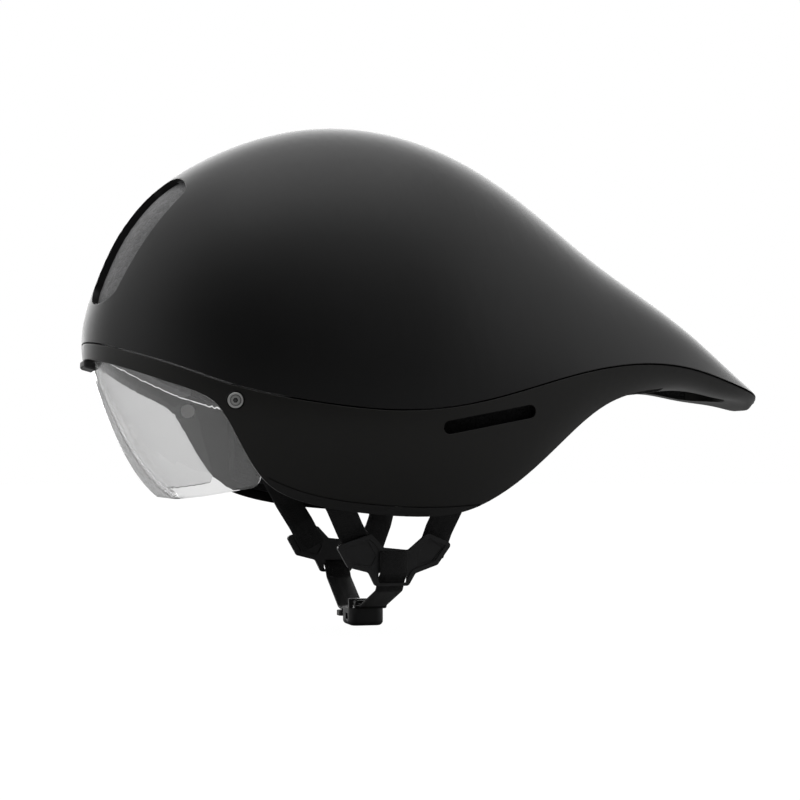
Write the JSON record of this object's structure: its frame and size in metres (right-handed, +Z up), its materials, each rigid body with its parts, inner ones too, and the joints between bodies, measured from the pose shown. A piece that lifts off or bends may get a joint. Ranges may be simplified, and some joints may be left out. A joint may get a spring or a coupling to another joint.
{
  "type": "aero time trial helmet",
  "caption": "Long-tailed aerodynamic cycling helmet with a clear wrap-round visor, a crown air intake, a nape fit dial and webbing chin straps that meet at a side-release buckle.",
  "frame": {"origin": "middle of the head room at brow height", "axes": "+Z up, -Y towards the face, +Y towards the tail, +X towards the rider's left"},
  "size_m": [0.21, 0.3976, 0.2797],
  "materials": {
    "shell": "satin black",
    "rubber_trim": "matte black",
    "foam": "moulded bead foam",
    "lens": "clear polished",
    "tab_plastic": "satin",
    "screw_steel": "satin steel",
    "pad_fabric": "brushed knit",
    "fit_plastic": "moulded",
    "dial_rubber": "soft touch",
    "webbing": "woven",
    "buckle_plastic": "satin"
  },
  "bodies": {
    "helmet": {"upper_shell": "shell", "lower_shell": "shell", "edge_trim": "rubber_trim", "nose_foam": "foam", "crown_foam": "foam", "skirt_foam": "foam", "visor_catch": "tab_plastic", "visor_screws": "screw_steel", "visor_nuts": "screw_steel", "brow_pad": "pad_fabric", "crown_pad": "pad_fabric", "side_pad_left": "pad_fabric", "side_pad_right": "pad_fabric", "nape_pad": "pad_fabric", "nape_cradle": "fit_plastic", "gear_case": "fit_plastic", "band_left": "fit_plastic", "band_right": "fit_plastic", "temple_pins": "screw_steel", "strap_front_left": "webbing", "strap_front_right": "webbing", "strap_rear_left": "webbing", "strap_rear_right": "webbing", "strap_lower_left": "webbing", "strap_lower_right": "webbing", "strap_anchors": "fit_plastic", "divider_left": "buckle_plastic", "divider_right": "buckle_plastic", "buckle_housing": "buckle_plastic", "strap_keeper": "dial_rubber"},
    "visor": {"visor_lens": "lens", "visor_tab": "tab_plastic"},
    "dial_group": {"dial": "dial_rubber", "pinion": "fit_plastic"},
    "rack_left_group": {"rack_left": "fit_plastic"},
    "rack_right_group": {"rack_right": "fit_plastic"},
    "tongue_group": {"buckle_tongue": "buckle_plastic"}
  },
  "joints": [
    {"name": "visor_hinge", "type": "hinge", "parent": "helmet", "child": "visor", "pos_m": [0, -0.0613, -0.0048], "axis": [1, 0, 0], "range_deg": [0, 10]},
    {"name": "dial_spin", "type": "hinge", "parent": "helmet", "child": "dial_group", "pos_m": [0, 0.09, -0.03], "axis": [0, -1, 0], "range_deg": [0, 114.59]},
    {"name": "rack_left_slide", "type": "slide", "parent": "helmet", "child": "rack_left_group", "axis": [-1, 0, 0], "range_m": [0, 0.01001], "deforming": ["band_left"]},
    {"name": "rack_right_slide", "type": "slide", "parent": "helmet", "child": "rack_right_group", "axis": [1, 0, 0], "range_m": [0, 0.01001], "deforming": ["band_right"]},
    {"name": "buckle_release", "type": "slide", "parent": "helmet", "child": "tongue_group", "axis": [-1, 0, 0], "range_m": [0, 0.014], "deforming": ["strap_lower_right"]}
  ],
  "couplings": [
    {"joint": "rack_left_slide", "follows": "dial_spin", "m_per_rad": 0.005},
    {"joint": "rack_right_slide", "follows": "dial_spin", "m_per_rad": 0.005}
  ]
}
